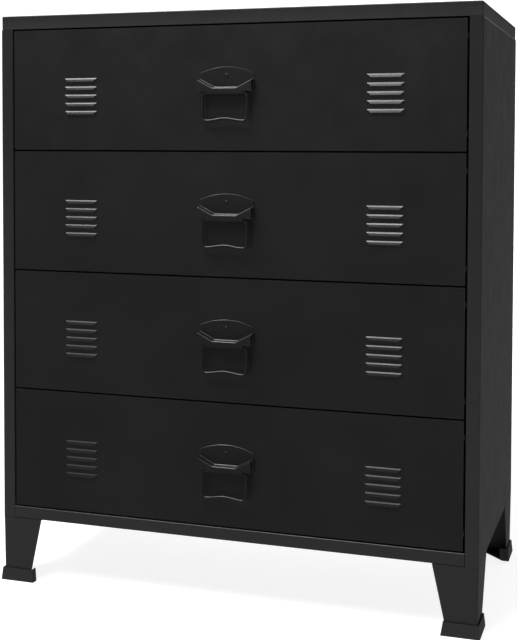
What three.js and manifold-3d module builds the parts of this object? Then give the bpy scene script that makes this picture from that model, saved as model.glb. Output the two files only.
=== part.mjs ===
// Tall chest of drawers in folded sheet steel: four louvred drawers with drop-bail pulls,
// in a welded carcass on four tapered angle legs with flared shoes.
// Millimetres. +X right, +Y to the back, +Z up. The origin is on the floor, under the middle of the
// whole object's box.

import * as THREE from 'three';
import { mergeVertices } from 'three/addons/utils/BufferGeometryUtils.js';
import Module from 'manifold-3d';

const wasm = await Module();
wasm.setup();

// ---------------------------------------------------------------- driving dimensions

const CHEST_WIDTH = 780;
const CHEST_DEPTH = 400;
const CHEST_HEIGHT = 925;
const DRAWER_COUNT = 4;

const SHEET = 1;              // wall of the carcass and drawer sheets
const GAP = 0.3;              // between pieces that rest on each other
const OVERRUN = 1;            // how far a cutting solid passes the face it cuts

// Carcass
const LEG_HEIGHT = 104.5;     // floor to the underside of the carcass
const BOTTOM_RAIL_HEIGHT = 19.5;
const TOP_BAND_HEIGHT = 21.5;
const TOP_INSET = 1;          // the top's side flanges stand this far inside the side panels
const STILE_WIDTH = 20.5;
const JAMB_DEPTH = 20;        // return of the stiles and of the bottom rail
const REAR_FLANGE = 15;
const BASE_FLANGE = 19;
const TOP_RETURN = 15;

// Legs and shoes, measured along each flange from the carcass corner
const LEG_SHEET = 1.2;
const LEG_INSET = 0.6;
const LEG_TOP_WIDTH = 68.5;
const LEG_TOP_DEPTH = 85;
const LEG_FOOT_WIDTH = 50;
const LEG_FOOT_DEPTH = 50;
const LEG_TAB_NOSE = 15;
const SHOE_HEIGHT = 20;
const SHOE_FLARE = 3.4;       // how far the shoe's foot passes the carcass
const SHOE_TOP_FLARE = 1.5;    // how far its top passes the carcass
const SHOE_FLOOR = 2.5;
const SHOE_END_WALL = 1.2;
const SHOE_NOSE = 8;

// Drawers
const FRONT_GAP = 2.8;        // between fronts, and between a front and a rail
const FRONT_SIDE_GAP = 3;
const FRONT_RETURN = 16;
const DRAWER_REAR_CLEARANCE = 25.7;
const BOX_SIDE_INSET = 4.5;   // drawer side to the end of its front
const BOX_BOTTOM_LIFT = 10;
const BOX_TOP_DROP = 35;       // top of the drawer box below the top edge of the front
const BOX_FLANGE = 12;

// Slides
const SLIDE_LIFT = 30;        // underside of the slide above the bottom edge of the front
const SLIDE_HEIGHT = 14;
const SLIDE_JAMB_GAP = 1.3;   // start of the slides behind the jamb
const SLIDE_REAR_INSET = 2;   // end of the moving slide ahead of the drawer's back
const SLIDE_OVERLAP = 4.7;    // how far the fixed channel reaches over the moving one
const SLIDE_JAMB_CLEARANCE = 0.8;

// Louvres
const LOUVRES_PER_GROUP = 5;
const LOUVRE_PITCH = 13;
const LOUVRE_HEIGHT = 5.6;
const LOUVRE_PROJECTION = 3;
const LOUVRE_TOP_WIDTH = 58;
const LOUVRE_LIP_WIDTH = 47;
const LOUVRE_SHEET = 1.2;
const LOUVRE_END_MARGIN = 119; // middle of a group from the end of the front
const LOUVRE_TOP_DROP = 77.5; // top of the first louvre below the top edge of the front

// Pull: an arched plate that folds out into a hood, whose face rolls round the bail's top bar.
// The heights are below the top edge of the front.
const PULL_HALF_WIDTH = 43.5;
const PULL_FLAT_HALF_WIDTH = 19.2;
const PULL_SHEET = 1.2;
const PULL_APEX_DROP = 63.5;
const PULL_SHOULDER_DROP = 73;
const PULL_TIP_DROP = 83.2;
const PULL_SHELF_DROP = 95.6;
const PULL_BASE_DROP = 101;
const HOOD_PROJECTION = 13;
const ROLL_HALF_LENGTH = 30;
const BAIL_RADIUS = 2;
const BAIL_HALF_WIDTH = 36;
const BAIL_CORNER = 7;
const BAIL_DROP = 42.8;       // pivot to the middle of the rod at the lower corners
const BAIL_WAVE = 3.4;        // rise of the grip at its middle
const BAIL_ROLL_CLEARANCE = 0.35;
const BAIL_HOOD_CLEARANCE = 0.4;

// ---------------------------------------------------------------- derived sizes

const HALF_WIDTH = CHEST_WIDTH / 2;
const BAND_BOTTOM = CHEST_HEIGHT - TOP_BAND_HEIGHT;
const RAIL_TOP = LEG_HEIGHT + BOTTOM_RAIL_HEIGHT;
const JAMB_X = HALF_WIDTH - STILE_WIDTH;
const SIDE_INNER_X = HALF_WIDTH - SHEET;
const BACK_FACE_Y = CHEST_DEPTH - 2 * SHEET - GAP;
const DRAWER_DEPTH = BACK_FACE_Y - DRAWER_REAR_CLEARANCE;
const SLIDE_START = JAMB_DEPTH + SLIDE_JAMB_GAP;
const FRONT_HEIGHT = (BAND_BOTTOM - RAIL_TOP - (DRAWER_COUNT + 1) * FRONT_GAP) / DRAWER_COUNT;
const FRONT_HALF_WIDTH = JAMB_X - FRONT_SIDE_GAP;
const LOUVRE_OFFSET = FRONT_HALF_WIDTH - LOUVRE_END_MARGIN;
const BOX_HALF_WIDTH = FRONT_HALF_WIDTH - BOX_SIDE_INSET;
const BOX_HEIGHT = FRONT_HEIGHT - BOX_BOTTOM_LIFT - BOX_TOP_DROP;
const MOVING_SLIDE_X = JAMB_X - SLIDE_JAMB_CLEARANCE;
const ROLL_BORE_RADIUS = BAIL_RADIUS + BAIL_ROLL_CLEARANCE;
const ROLL_RADIUS = ROLL_BORE_RADIUS + PULL_SHEET;
const BAIL_PIVOT_Y = -HOOD_PROJECTION + ROLL_RADIUS;
const BAIL_PIVOT_DROP = PULL_BASE_DROP + BAIL_RADIUS + BAIL_HOOD_CLEARANCE;
const MODEL_SHIFT_Y = -(CHEST_DEPTH + SHOE_FLARE - HOOD_PROJECTION) / 2;

// ---------------------------------------------------------------- finishes

const finishes = {
  shell: { color: 0x26272a, roughness: 0.55, metalness: 0.25 },
  side: { color: 0x2b2c2e, roughness: 0.55, metalness: 0.25 },
  inner: { color: 0x232426, roughness: 0.6, metalness: 0.25 },
  slide: { color: 0x8d9093, roughness: 0.4, metalness: 0.8 },
  pull: { color: 0x202124, roughness: 0.45, metalness: 0.35 },
  shoe: { color: 0x222326, roughness: 0.6, metalness: 0.1 },
};

// ---------------------------------------------------------------- solids

// A closed three.js geometry as a solid that can be joined and cut.
function toSolid(geometry) {
  const bare = geometry.index ? geometry.toNonIndexed() : geometry.clone();
  bare.deleteAttribute('normal');
  bare.deleteAttribute('uv');
  const merged = mergeVertices(bare, 1e-4);
  return new wasm.Manifold(new wasm.Mesh({
    numProp: 3,
    vertProperties: new Float32Array(merged.attributes.position.array),
    triVerts: new Uint32Array(merged.index.array),
  }));
}

// A box between two corners.
function box([x0, y0, z0], [x1, y1, z1]) {
  const geometry = new THREE.BoxGeometry(x1 - x0, y1 - y0, z1 - z0);
  geometry.translate((x0 + x1) / 2, (y0 + y1) / 2, (z0 + z1) / 2);
  return toSolid(geometry);
}

// A prism: an outline drawn in the plane of two axes, extruded along the third.
const prismAxes = {
  x: [[0, 1, 0], [0, 0, 1], [1, 0, 0]],
  y: [[0, 0, 1], [1, 0, 0], [0, 1, 0]],
  z: [[1, 0, 0], [0, 1, 0], [0, 0, 1]],
};

function prism(axis, outline, from, to) {
  const shape = new THREE.Shape(outline.map(([a, b]) => new THREE.Vector2(a, b)));
  const geometry = new THREE.ExtrudeGeometry(shape, { depth: to - from, bevelEnabled: false });
  geometry.translate(0, 0, from);
  const [first, second, along] = prismAxes[axis].map((v) => new THREE.Vector3(...v));
  geometry.applyMatrix4(new THREE.Matrix4().makeBasis(first, second, along));
  return toSolid(geometry);
}

// Outlines for a prism along Y are given as [x, z], which this turns into its [z, x].
const swapped = (outline) => outline.map(([a, b]) => [b, a]);

// A round bar along X.
function barAlongX(radius, x0, x1, y, z, sides) {
  const geometry = new THREE.CylinderGeometry(radius, radius, x1 - x0, sides);
  geometry.rotateZ(Math.PI / 2);
  geometry.translate((x0 + x1) / 2, y, z);
  return toSolid(geometry);
}

function joined(solids) {
  return solids.reduce((sum, solid) => sum.add(solid));
}

function toGeometry(solid) {
  const mesh = solid.getMesh();
  const stride = mesh.numProp;
  const positions = new Float32Array(mesh.numVert * 3);
  for (let i = 0; i < mesh.numVert; i += 1) {
    for (let axis = 0; axis < 3; axis += 1) {
      positions[i * 3 + axis] = mesh.vertProperties[i * stride + axis];
    }
  }
  const geometry = new THREE.BufferGeometry();
  geometry.setAttribute('position', new THREE.BufferAttribute(positions, 3));
  geometry.setIndex(new THREE.BufferAttribute(new Uint32Array(mesh.triVerts), 1));
  geometry.computeVertexNormals();
  return geometry;
}

function addPiece(group, name, solid, finish) {
  const mesh = new THREE.Mesh(toGeometry(solid), new THREE.MeshStandardMaterial(finishes[finish]));
  mesh.name = name;
  group.add(mesh);
}

// The same solid on the other side of the plane x = 0 or y = middle.
const mirrorX = (solid) => solid.mirror([1, 0, 0]);
const mirrorDepth = (solid) => solid.mirror([0, 1, 0]).translate([0, CHEST_DEPTH, 0]);

// ---------------------------------------------------------------- carcass

// The top: a shallow tray turned over, with a return behind its front band.
function topPanel() {
  const halfWidth = HALF_WIDTH - TOP_INSET;
  const tray = box([-halfWidth, 0, BAND_BOTTOM], [halfWidth, CHEST_DEPTH, CHEST_HEIGHT])
    .subtract(box(
      [-halfWidth + SHEET, SHEET, BAND_BOTTOM - OVERRUN],
      [halfWidth - SHEET, CHEST_DEPTH - SHEET, CHEST_HEIGHT - SHEET],
    ));
  const returnHalfWidth = halfWidth - 2 * SHEET - 2 * GAP;
  return tray.add(box(
    [-returnHalfWidth, SHEET / 2, BAND_BOTTOM],
    [returnHalfWidth, TOP_RETURN, BAND_BOTTOM + SHEET],
  ));
}

// The right side panel: one sheet with the stile and its jamb folded at the front, a flange at the
// back, a flange along the base, and a tongue joggled inwards that stands inside the top.
function sidePanel() {
  const top = BAND_BOTTOM - GAP;
  const wrap = prism('z', [
    [JAMB_X, 0],
    [HALF_WIDTH, 0],
    [HALF_WIDTH, CHEST_DEPTH],
    [HALF_WIDTH - REAR_FLANGE, CHEST_DEPTH],
    [HALF_WIDTH - REAR_FLANGE, CHEST_DEPTH - SHEET],
    [SIDE_INNER_X, CHEST_DEPTH - SHEET],
    [SIDE_INNER_X, SHEET],
    [JAMB_X + SHEET, SHEET],
    [JAMB_X + SHEET, JAMB_DEPTH],
    [JAMB_X, JAMB_DEPTH],
  ], LEG_HEIGHT, top);
  const base = box(
    [HALF_WIDTH - BASE_FLANGE, SHEET / 2, LEG_HEIGHT],
    [HALF_WIDTH - SHEET / 2, CHEST_DEPTH - SHEET / 2, LEG_HEIGHT + SHEET],
  );
  const tongueOuter = HALF_WIDTH - TOP_INSET - SHEET - GAP;
  const tongue = prism('y', swapped([
    [HALF_WIDTH - SHEET / 2, top],
    [tongueOuter, top],
    [tongueOuter, CHEST_HEIGHT - SHEET - GAP],
    [tongueOuter - SHEET, CHEST_HEIGHT - SHEET - GAP],
    [tongueOuter - SHEET, top - SHEET],
    [HALF_WIDTH - SHEET / 2, top - SHEET],
  ]), TOP_RETURN + GAP, BACK_FACE_Y - GAP);
  return joined([wrap, base, tongue]);
}

function backPanel() {
  const halfWidth = SIDE_INNER_X - GAP;
  return box(
    [-halfWidth, BACK_FACE_Y, LEG_HEIGHT + SHEET + GAP],
    [halfWidth, BACK_FACE_Y + SHEET, CHEST_HEIGHT - SHEET - GAP],
  ).subtract(joined([-1, 1].map((side) => {
    const edge = HALF_WIDTH - TOP_INSET - SHEET - GAP;
    const corners = [side * edge, side * (HALF_WIDTH + OVERRUN)].sort((a, b) => a - b);
    return box(
      [corners[0], BACK_FACE_Y - OVERRUN, BAND_BOTTOM - 2 * GAP],
      [corners[1], CHEST_DEPTH, CHEST_HEIGHT],
    );
  })));
}

// The floor of the carcass, notched round the two jambs.
function bottomPanel() {
  const halfWidth = SIDE_INNER_X - GAP;
  const low = LEG_HEIGHT + SHEET + GAP;
  const sheet = box([-halfWidth, SHEET + GAP, low], [halfWidth, BACK_FACE_Y - GAP, low + SHEET]);
  const notch = box(
    [JAMB_X - GAP, 0, low - OVERRUN],
    [HALF_WIDTH, JAMB_DEPTH + GAP, low + SHEET + OVERRUN],
  );
  return sheet.subtract(notch).subtract(mirrorX(notch));
}

function frontBottomRail() {
  const halfWidth = JAMB_X - GAP;
  return prism('x', [
    [0, LEG_HEIGHT],
    [JAMB_DEPTH, LEG_HEIGHT],
    [JAMB_DEPTH, LEG_HEIGHT + SHEET],
    [SHEET, LEG_HEIGHT + SHEET],
    [SHEET, RAIL_TOP - SHEET],
    [JAMB_DEPTH, RAIL_TOP - SHEET],
    [JAMB_DEPTH, RAIL_TOP],
    [0, RAIL_TOP],
  ], -halfWidth, halfWidth);
}

// The fixed half of a slide, on the right: a channel that opens towards the drawer.
function fixedSlide(frontBottom) {
  const low = frontBottom + SLIDE_LIFT;
  const high = low + SLIDE_HEIGHT;
  const web = SIDE_INNER_X - GAP;
  const lip = MOVING_SLIDE_X - SLIDE_OVERLAP;
  return prism('y', swapped([
    [lip, low],
    [web, low],
    [web, high],
    [lip, high],
    [lip, high - SHEET],
    [web - SHEET, high - SHEET],
    [web - SHEET, low + SHEET],
    [lip, low + SHEET],
  ]), SLIDE_START, CHEST_DEPTH - REAR_FLANGE);
}

// ---------------------------------------------------------------- legs and shoes

// The front right leg: a tapered angle with a tab at the top that carries the carcass.
// A width w from the corner lies at x = HALF_WIDTH - w.
function leg() {
  const top = LEG_HEIGHT - GAP;
  const foot = SHOE_FLOOR + GAP;
  const taper = (topSize, footSize) =>
    topSize - ((topSize - footSize) * (top - foot)) / (top - SHOE_HEIGHT);
  const x = (width) => HALF_WIDTH - width;
  const front = prism('y', swapped([
    [x(LEG_INSET), foot],
    [x(LEG_INSET), top],
    [x(LEG_TOP_WIDTH), top],
    [x(taper(LEG_TOP_WIDTH, LEG_FOOT_WIDTH)), foot],
  ]), LEG_INSET, LEG_INSET + LEG_SHEET);
  const side = prism('x', [
    [LEG_INSET, foot],
    [taper(LEG_TOP_DEPTH, LEG_FOOT_DEPTH), foot],
    [LEG_TOP_DEPTH, top],
    [LEG_INSET, top],
  ], x(LEG_INSET + LEG_SHEET), x(LEG_INSET));
  const tab = prism('z', [
    [x(LEG_INSET), LEG_INSET],
    [x(LEG_TOP_WIDTH), LEG_INSET],
    [x(LEG_TOP_WIDTH), LEG_TAB_NOSE],
    [x(LEG_TAB_NOSE), LEG_TOP_DEPTH],
    [x(LEG_INSET), LEG_TOP_DEPTH],
  ], top - LEG_SHEET, top);
  return joined([front, side, tab]);
}

// The front right shoe: it flares towards the floor, and its floor is cut off across the corner.
function shoe() {
  const x = (width) => HALF_WIDTH - width;
  const endWidth = LEG_FOOT_WIDTH + GAP + SHOE_END_WALL;
  const endDepth = LEG_FOOT_DEPTH + GAP + SHOE_END_WALL;
  const flared = (end) => [
    [-SHOE_FLARE, 0],
    [end + SHOE_FLARE, 0],
    [end, SHOE_HEIGHT],
    [-SHOE_TOP_FLARE, SHOE_HEIGHT],
  ];
  const acrossX = flared(endWidth).map(([w, z]) => [x(w), z]);
  const block = prism('y', swapped(acrossX), -SHOE_FLARE, endDepth + SHOE_FLARE)
    .intersect(prism('x', flared(endDepth), x(endWidth + SHOE_FLARE), x(-SHOE_FLARE)));
  const corner = prism('z', [
    [x(endWidth + SHOE_FLARE + OVERRUN), SHOE_NOSE],
    [x(endWidth + SHOE_FLARE), SHOE_NOSE],
    [x(SHOE_NOSE), endDepth + SHOE_FLARE],
    [x(SHOE_NOSE), endDepth + SHOE_FLARE + OVERRUN],
    [x(endWidth + SHOE_FLARE + OVERRUN), endDepth + SHOE_FLARE + OVERRUN],
  ], -OVERRUN, SHOE_HEIGHT + OVERRUN);
  const pocket = box(
    [x(LEG_FOOT_WIDTH + GAP), LEG_INSET - GAP, SHOE_FLOOR],
    [x(LEG_INSET - GAP), LEG_FOOT_DEPTH + GAP, SHOE_HEIGHT + OVERRUN],
  );
  return block.subtract(corner).subtract(pocket);
}

// ---------------------------------------------------------------- drawers
// A drawer is drawn with the bottom edge of its front at z = 0 and its face at y = 0.

// The wedge of one pressed louvre, with its top edge at z = 0. With a wall it is the hollow inside
// the hood, which leaves the hood closed at the top and the ends, and open underneath.
function louvreWedge(wall) {
  const slope = LOUVRE_PROJECTION / LOUVRE_HEIGHT;
  const wallAlongFace = wall * Math.hypot(1, 1 / slope);
  const top = -wallAlongFace;
  const bottom = -LOUVRE_HEIGHT - (wall > 0 ? OVERRUN : 0);
  const rear = wall > 0 ? SHEET + OVERRUN : SHEET / 2;
  const lip = -slope * (top - bottom);
  const profile = prism('x', [
    [rear, top],
    [0, top],
    [lip, bottom],
    [rear, bottom],
  ], -LOUVRE_TOP_WIDTH / 2, LOUVRE_TOP_WIDTH / 2);
  const halfTop = LOUVRE_TOP_WIDTH / 2 - 2 * wall;
  const halfLip = LOUVRE_LIP_WIDTH / 2 - wall;
  const ends = prism('y', swapped([
    [-halfLip, bottom],
    [halfLip, bottom],
    [halfTop, top],
    [-halfTop, top],
  ]), -LOUVRE_PROJECTION * 2, rear);
  return profile.intersect(ends);
}

function drawerFront() {
  const pan = box([-FRONT_HALF_WIDTH, 0, 0], [FRONT_HALF_WIDTH, FRONT_RETURN, FRONT_HEIGHT])
    .subtract(box(
      [-FRONT_HALF_WIDTH + SHEET, SHEET, SHEET],
      [FRONT_HALF_WIDTH - SHEET, FRONT_RETURN + OVERRUN, FRONT_HEIGHT - SHEET],
    ));
  const hoods = [];
  const slots = [];
  for (const side of [-1, 1]) {
    for (let row = 0; row < LOUVRES_PER_GROUP; row += 1) {
      const place = [
        side * LOUVRE_OFFSET,
        0,
        FRONT_HEIGHT - LOUVRE_TOP_DROP - row * LOUVRE_PITCH,
      ];
      hoods.push(louvreWedge(0).translate(place));
      slots.push(louvreWedge(LOUVRE_SHEET).translate(place));
    }
  }
  return pan.add(joined(hoods)).subtract(joined(slots));
}

// The right side of the drawer box, folded inwards at the front and along the base.
function drawerSide() {
  const outer = BOX_HALF_WIDTH;
  const front = SHEET + GAP;
  const low = BOX_BOTTOM_LIFT;
  const wall = box([outer - SHEET, front, low], [outer, DRAWER_DEPTH, low + BOX_HEIGHT]);
  const frontFlange = box(
    [outer - BOX_FLANGE, front, low + 2 * SHEET + 2 * GAP],
    [outer, front + SHEET, low + BOX_HEIGHT],
  );
  const baseFlange = box([outer - BOX_FLANGE, front, low], [outer, DRAWER_DEPTH, low + SHEET]);
  return joined([wall, frontFlange, baseFlange]);
}

function drawerBottom() {
  const halfWidth = BOX_HALF_WIDTH - SHEET - GAP;
  const low = BOX_BOTTOM_LIFT + SHEET + GAP;
  return box([-halfWidth, SHEET + GAP, low], [halfWidth, DRAWER_DEPTH, low + SHEET]);
}

function drawerBack() {
  const halfWidth = BOX_HALF_WIDTH - SHEET - GAP;
  const low = BOX_BOTTOM_LIFT + 2 * SHEET + 2 * GAP;
  return box(
    [-halfWidth, DRAWER_DEPTH - SHEET, low],
    [halfWidth, DRAWER_DEPTH, BOX_BOTTOM_LIFT + BOX_HEIGHT],
  );
}

// The moving half of a slide, on the right: a channel that rides inside the fixed one.
function movingSlide() {
  const low = SLIDE_LIFT + SHEET + GAP;
  const high = SLIDE_LIFT + SLIDE_HEIGHT - SHEET - GAP;
  const web = BOX_HALF_WIDTH + GAP;
  return prism('y', swapped([
    [web, low],
    [MOVING_SLIDE_X, low],
    [MOVING_SLIDE_X, low + SHEET],
    [web + SHEET, low + SHEET],
    [web + SHEET, high - SHEET],
    [MOVING_SLIDE_X, high - SHEET],
    [MOVING_SLIDE_X, high],
    [web, high],
  ]), SLIDE_START, DRAWER_DEPTH - SLIDE_REAR_INSET);
}

// ---------------------------------------------------------------- pulls
// A pull is drawn with z = 0 at the top edge of the front.

// The front view of the hood, with its boat-shaped top lowered by some amount.
function hoodOutline(halfWidth, lowering, base) {
  const slope = (PULL_SHELF_DROP - PULL_TIP_DROP) / (PULL_HALF_WIDTH - PULL_FLAT_HALF_WIDTH);
  const tip = -PULL_TIP_DROP - lowering + slope * (halfWidth - PULL_HALF_WIDTH);
  const shelf = -PULL_SHELF_DROP - lowering;
  return swapped([
    [-halfWidth, base],
    [halfWidth, base],
    [halfWidth, tip],
    [PULL_FLAT_HALF_WIDTH, shelf],
    [-PULL_FLAT_HALF_WIDTH, shelf],
    [-halfWidth, tip],
  ]);
}

// The hood: a shelf that folds down into a face, open at the back, underneath and at its ends.
function hood() {
  const plateMiddle = -GAP - PULL_SHEET / 2;
  const outer = prism('y', hoodOutline(PULL_HALF_WIDTH, 0, -PULL_BASE_DROP),
    -HOOD_PROJECTION, plateMiddle);
  const hollow = prism('y', hoodOutline(
    PULL_HALF_WIDTH + OVERRUN,
    PULL_SHEET,
    -PULL_BASE_DROP - OVERRUN,
  ), -HOOD_PROJECTION + PULL_SHEET, -GAP - PULL_SHEET);
  return outer.subtract(hollow);
}

function pullPlate() {
  const rise = PULL_SHOULDER_DROP - PULL_APEX_DROP;
  const arcRadius = (PULL_HALF_WIDTH ** 2 + rise ** 2) / (2 * rise);
  const halfAngle = Math.asin(PULL_HALF_WIDTH / arcRadius);
  const steps = 16;
  const outline = [[-PULL_HALF_WIDTH, -PULL_BASE_DROP]];
  for (let i = 0; i <= steps; i += 1) {
    const angle = -halfAngle + (2 * halfAngle * i) / steps;
    outline.push([
      arcRadius * Math.sin(angle),
      -PULL_APEX_DROP - arcRadius * (1 - Math.cos(angle)),
    ]);
  }
  outline.push([PULL_HALF_WIDTH, -PULL_BASE_DROP]);
  return prism('y', swapped(outline), -GAP - PULL_SHEET, -GAP);
}

// The roll under the middle of the hood's face, which goes round the bail's top bar and stops
// over its middle.
function bailRoll() {
  const half = ROLL_HALF_LENGTH;
  const sides = 20;
  const barrel = barAlongX(ROLL_RADIUS, -half, half, BAIL_PIVOT_Y, -BAIL_PIVOT_DROP, sides);
  const neck = box(
    [-half, -HOOD_PROJECTION, -BAIL_PIVOT_DROP],
    [half, -HOOD_PROJECTION + PULL_SHEET, -PULL_BASE_DROP + GAP],
  );
  const [x0, x1] = [-half - OVERRUN, half + OVERRUN];
  const bore = barAlongX(ROLL_BORE_RADIUS, x0, x1, BAIL_PIVOT_Y, -BAIL_PIVOT_DROP, sides);
  const slit = box(
    [x0, -HOOD_PROJECTION + PULL_SHEET, -BAIL_PIVOT_DROP],
    [x1, BAIL_PIVOT_Y, -BAIL_PIVOT_DROP + ROLL_RADIUS + OVERRUN],
  );
  return barrel.add(neck).subtract(bore).subtract(slit);
}

function pullBracket() {
  return joined([pullPlate(), hood(), bailRoll()]);
}

// Half of the bail's centre line, from the middle of its top bar round to the middle of its grip.
function bailPath() {
  const points = [];
  const place = (x, drop) => points.push(
    new THREE.Vector3(x, BAIL_PIVOT_Y, -BAIL_PIVOT_DROP - drop),
  );
  const arc = (cx, cz, from, to) => {
    for (let i = 0; i <= 3; i += 1) {
      const angle = from + ((to - from) * i) / 3;
      place(cx + BAIL_CORNER * Math.cos(angle), cz - BAIL_CORNER * Math.sin(angle));
    }
  };
  const cornerX = BAIL_HALF_WIDTH - BAIL_CORNER;
  place(-1, 0);
  place(cornerX / 2, 0);
  arc(cornerX, BAIL_CORNER, Math.PI / 2, 0);
  arc(cornerX, BAIL_DROP - BAIL_CORNER, 0, -Math.PI / 2);
  for (const share of [0.75, 0.5, 0.25]) {
    const rise = (BAIL_WAVE * (1 + Math.cos(Math.PI * share))) / 2;
    place(cornerX * share, BAIL_DROP - rise);
  }
  place(0, BAIL_DROP - BAIL_WAVE);
  place(-1, BAIL_DROP - BAIL_WAVE);
  return points;
}

function bail() {
  const section = new THREE.Shape();
  section.absarc(0, 0, BAIL_RADIUS, 0, 2 * Math.PI);
  const half = toSolid(new THREE.ExtrudeGeometry(section, {
    steps: 26,
    curveSegments: 4,
    bevelEnabled: false,
    extrudePath: new THREE.CatmullRomCurve3(bailPath(), false, 'centripetal'),
  }));
  return half.add(mirrorX(half));
}

// ---------------------------------------------------------------- assembly

const root = new THREE.Group();
root.position.y = MODEL_SHIFT_Y;

addPiece(root, 'top_panel', topPanel(), 'shell');
addPiece(root, 'right_side_panel', sidePanel(), 'side');
addPiece(root, 'left_side_panel', mirrorX(sidePanel()), 'side');
addPiece(root, 'back_panel', backPanel(), 'shell');
addPiece(root, 'bottom_panel', bottomPanel(), 'inner');
addPiece(root, 'front_bottom_rail', frontBottomRail(), 'shell');

const corners = {
  front_right: (solid) => solid,
  front_left: (solid) => mirrorX(solid),
  rear_right: (solid) => mirrorDepth(solid),
  rear_left: (solid) => mirrorX(mirrorDepth(solid)),
};
for (const [corner, place] of Object.entries(corners)) {
  addPiece(root, `${corner}_leg`, place(leg()), 'shell');
  addPiece(root, `${corner}_shoe`, place(shoe()), 'shoe');
}

for (let number = 1; number <= DRAWER_COUNT; number += 1) {
  const frontBottom = BAND_BOTTOM - number * (FRONT_HEIGHT + FRONT_GAP);
  addPiece(root, `fixed_slide_${number}_right`, fixedSlide(frontBottom), 'slide');
  addPiece(root, `fixed_slide_${number}_left`, mirrorX(fixedSlide(frontBottom)), 'slide');

  const drawer = new THREE.Group();
  drawer.position.z = frontBottom;
  addPiece(drawer, `drawer_${number}_front`, drawerFront(), 'shell');
  addPiece(drawer, `drawer_${number}_right_side`, drawerSide(), 'inner');
  addPiece(drawer, `drawer_${number}_left_side`, mirrorX(drawerSide()), 'inner');
  addPiece(drawer, `drawer_${number}_bottom`, drawerBottom(), 'inner');
  addPiece(drawer, `drawer_${number}_back`, drawerBack(), 'inner');
  addPiece(drawer, `drawer_${number}_right_slide`, movingSlide(), 'slide');
  addPiece(drawer, `drawer_${number}_left_slide`, mirrorX(movingSlide()), 'slide');

  const pull = new THREE.Group();
  pull.position.z = FRONT_HEIGHT;
  addPiece(pull, `pull_${number}_bracket`, pullBracket(), 'pull');
  addPiece(pull, `pull_${number}_bail`, bail(), 'pull');
  drawer.add(pull);
  root.add(drawer);
}

export default root;
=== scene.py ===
"""Looks for the tall steel chest of drawers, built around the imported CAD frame.

Everything is in metres, in the frame's own axes: +X right, +Y to the back, +Z up.
Places come from the frame's boxes; small sizes that the frame doesn't state are named below.
"""

import math

import bmesh
import bpy
from mathutils import Matrix, Vector


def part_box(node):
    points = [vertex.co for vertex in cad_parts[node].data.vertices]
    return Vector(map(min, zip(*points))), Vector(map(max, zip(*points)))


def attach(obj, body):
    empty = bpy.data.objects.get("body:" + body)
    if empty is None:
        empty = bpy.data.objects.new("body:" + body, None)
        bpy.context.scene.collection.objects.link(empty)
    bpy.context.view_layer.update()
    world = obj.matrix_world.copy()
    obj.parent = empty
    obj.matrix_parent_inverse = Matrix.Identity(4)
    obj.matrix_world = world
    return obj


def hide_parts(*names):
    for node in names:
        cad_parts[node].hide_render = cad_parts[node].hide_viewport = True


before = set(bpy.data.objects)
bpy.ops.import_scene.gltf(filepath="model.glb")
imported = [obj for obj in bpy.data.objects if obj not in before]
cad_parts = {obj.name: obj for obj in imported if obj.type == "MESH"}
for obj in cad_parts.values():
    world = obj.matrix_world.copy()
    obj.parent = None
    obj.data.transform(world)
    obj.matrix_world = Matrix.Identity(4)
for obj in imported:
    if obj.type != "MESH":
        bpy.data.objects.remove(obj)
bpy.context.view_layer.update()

MM = 0.001
DRAWERS = (1, 2, 3, 4)
SIDES = (("right", 1), ("left", -1))

# ------------------------------------------------------------------ places from the frame

TOP_LO, TOP_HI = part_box("top_panel")
SIDE_LO, SIDE_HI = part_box("right_side_panel")
RAIL_LO, RAIL_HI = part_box("front_bottom_rail")
LEG_LO, LEG_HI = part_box("front_right_leg")
FACE_Y = RAIL_LO.y
REAR_Y = SIDE_HI.y
MIDDLE_Y = (FACE_Y + REAR_Y) / 2

# ------------------------------------------------------------------ sizes of the sheet work

SHEET = 1 * MM
FOLD_RADIUS = 1.6 * MM
FOLD_STEPS = 4
PART_GAP = 0.3 * MM               # between pieces that touch
LAP = 0.05 * MM                   # how far a piece sinks into, or stays off, its neighbour
SOFT_EDGE = 0.25 * MM
THIN_SOFT_EDGE = 0.2 * MM
TOLERANCE = 1e-6

RETURN_INSET = 3 * SHEET
RETURN_DEPTH = 15 * MM

JAMB_DEPTH = 20 * MM
REAR_FLANGE = 15 * MM
TOP_FOLD_DEPTH = 1.1 * MM
TOP_FOLD_HEIGHT = 2.6 * MM
TOP_FOLD_STEPS = 5
HIGHLIGHT_START = 0.62               # share of the fold, from its top, that carries the painted highlight
HIGHLIGHT_SETBACK = 2 * MM
TONGUE_START = 16 * MM
TONGUE_SETBACK = 3 * MM
TONGUE_TOP_GAP = 1.4 * MM
TONGUE_LAP = 0.02 * MM
FLANGE_WIDTH = 19 * MM
FLANGE_SETBACK = 1.2 * MM

LEG_SHEET = 1.2 * MM
LEG_FOLD_RADIUS = 2.2 * MM
LEG_FOLD_STEPS = 5
LEG_TOP_OUT = 0.5 * MM            # past the CAD leg at the top
LEG_FOOT_IN = 0.6 * MM            # inside it at the foot
LEG_TOP_WIDTH = 68.4 * MM
LEG_FOOT_WIDTH = 45 * MM
LEG_TOP_DEPTH = 84.9 * MM
LEG_FOOT_DEPTH = 41.5 * MM
TAB_EDGE = 1.4 * MM
TAB_WIDTH = 67.5 * MM
TAB_DEPTH = 84 * MM
TAB_ARM = 14 * MM
SHOE_SOFT_EDGE = 0.8 * MM

FRONT_FOLD_RADIUS = 1.5 * MM
FOLD_ANGLE = 1.0                  # radians, above which an edge of the front is a fold

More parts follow.
